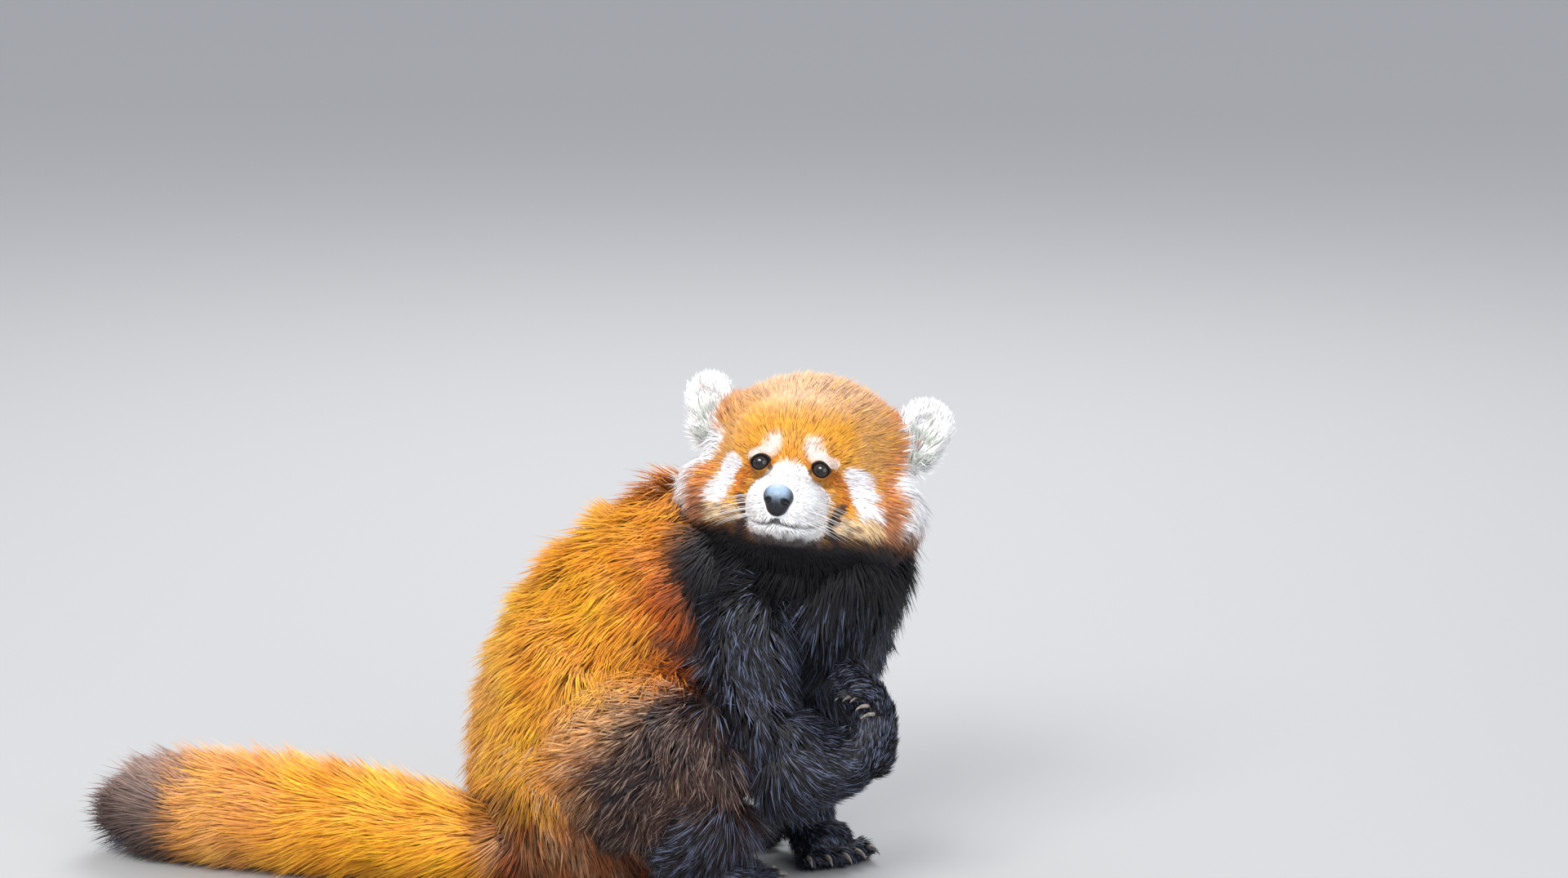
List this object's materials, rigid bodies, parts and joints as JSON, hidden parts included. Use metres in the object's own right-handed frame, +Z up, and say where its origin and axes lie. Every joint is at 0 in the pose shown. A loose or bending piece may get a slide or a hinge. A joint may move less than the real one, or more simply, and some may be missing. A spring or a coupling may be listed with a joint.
{
  "type": "red panda model",
  "caption": "Life-size still model of a red panda that sits on its haunches, looks aside and holds one forepaw up, with its ringed tail laid behind.",
  "frame": {"origin": "middle of the bounding box, on the floor", "axes": "+X is the way the body points, with the tail towards -X; the face looks towards -Y; +Z up"},
  "size_m": [0.5916, 0.2196, 0.3446],
  "materials": {
    "rust_fur": "dense long fur, rusty orange, matt",
    "black_fur": "dense black fur with a soft bluish sheen",
    "white_fur": "short white fur",
    "brown_fur": "dark brown grizzled fur",
    "eye": "wet gloss, dark brown",
    "nose": "moist black skin, finely pebbled",
    "claw": "pale horn, satin"
  },
  "bodies": {
    "root": {"chest": "black_fur", "claw_forepaw_left_1": "claw", "claw_forepaw_left_2": "claw", "claw_forepaw_left_3": "claw", "claw_forepaw_left_4": "claw", "claw_forepaw_left_5": "claw", "claw_forepaw_right_1": "claw", "claw_forepaw_right_2": "claw", "claw_forepaw_right_3": "claw", "claw_forepaw_right_4": "claw", "claw_forepaw_right_5": "claw", "claw_hindfoot_left_1": "claw", "claw_hindfoot_left_2": "claw", "claw_hindfoot_left_3": "claw", "claw_hindfoot_left_4": "claw", "claw_hindfoot_left_5": "claw", "claw_hindfoot_right_1": "claw", "claw_hindfoot_right_2": "claw", "claw_hindfoot_right_3": "claw", "claw_hindfoot_right_4": "claw", "claw_hindfoot_right_5": "claw", "ear_left": "white_fur", "ear_right": "white_fur", "eye_left": "eye", "eye_right": "eye", "forearm_left": "black_fur", "forearm_right": "black_fur", "forepaw_left": "black_fur", "forepaw_right": "black_fur", "head": "rust_fur", "hindfoot_left": "black_fur", "hindfoot_right": "black_fur", "neck": "black_fur", "nose": "nose", "shank_left": "black_fur", "shank_right": "black_fur", "tail_base": "rust_fur", "tail_middle": "rust_fur", "tail_tip": "brown_fur", "thigh_left": "brown_fur", "thigh_right": "brown_fur", "torso": "rust_fur", "upper_arm_left": "black_fur", "upper_arm_right": "black_fur"}
  },
  "joints": []
}
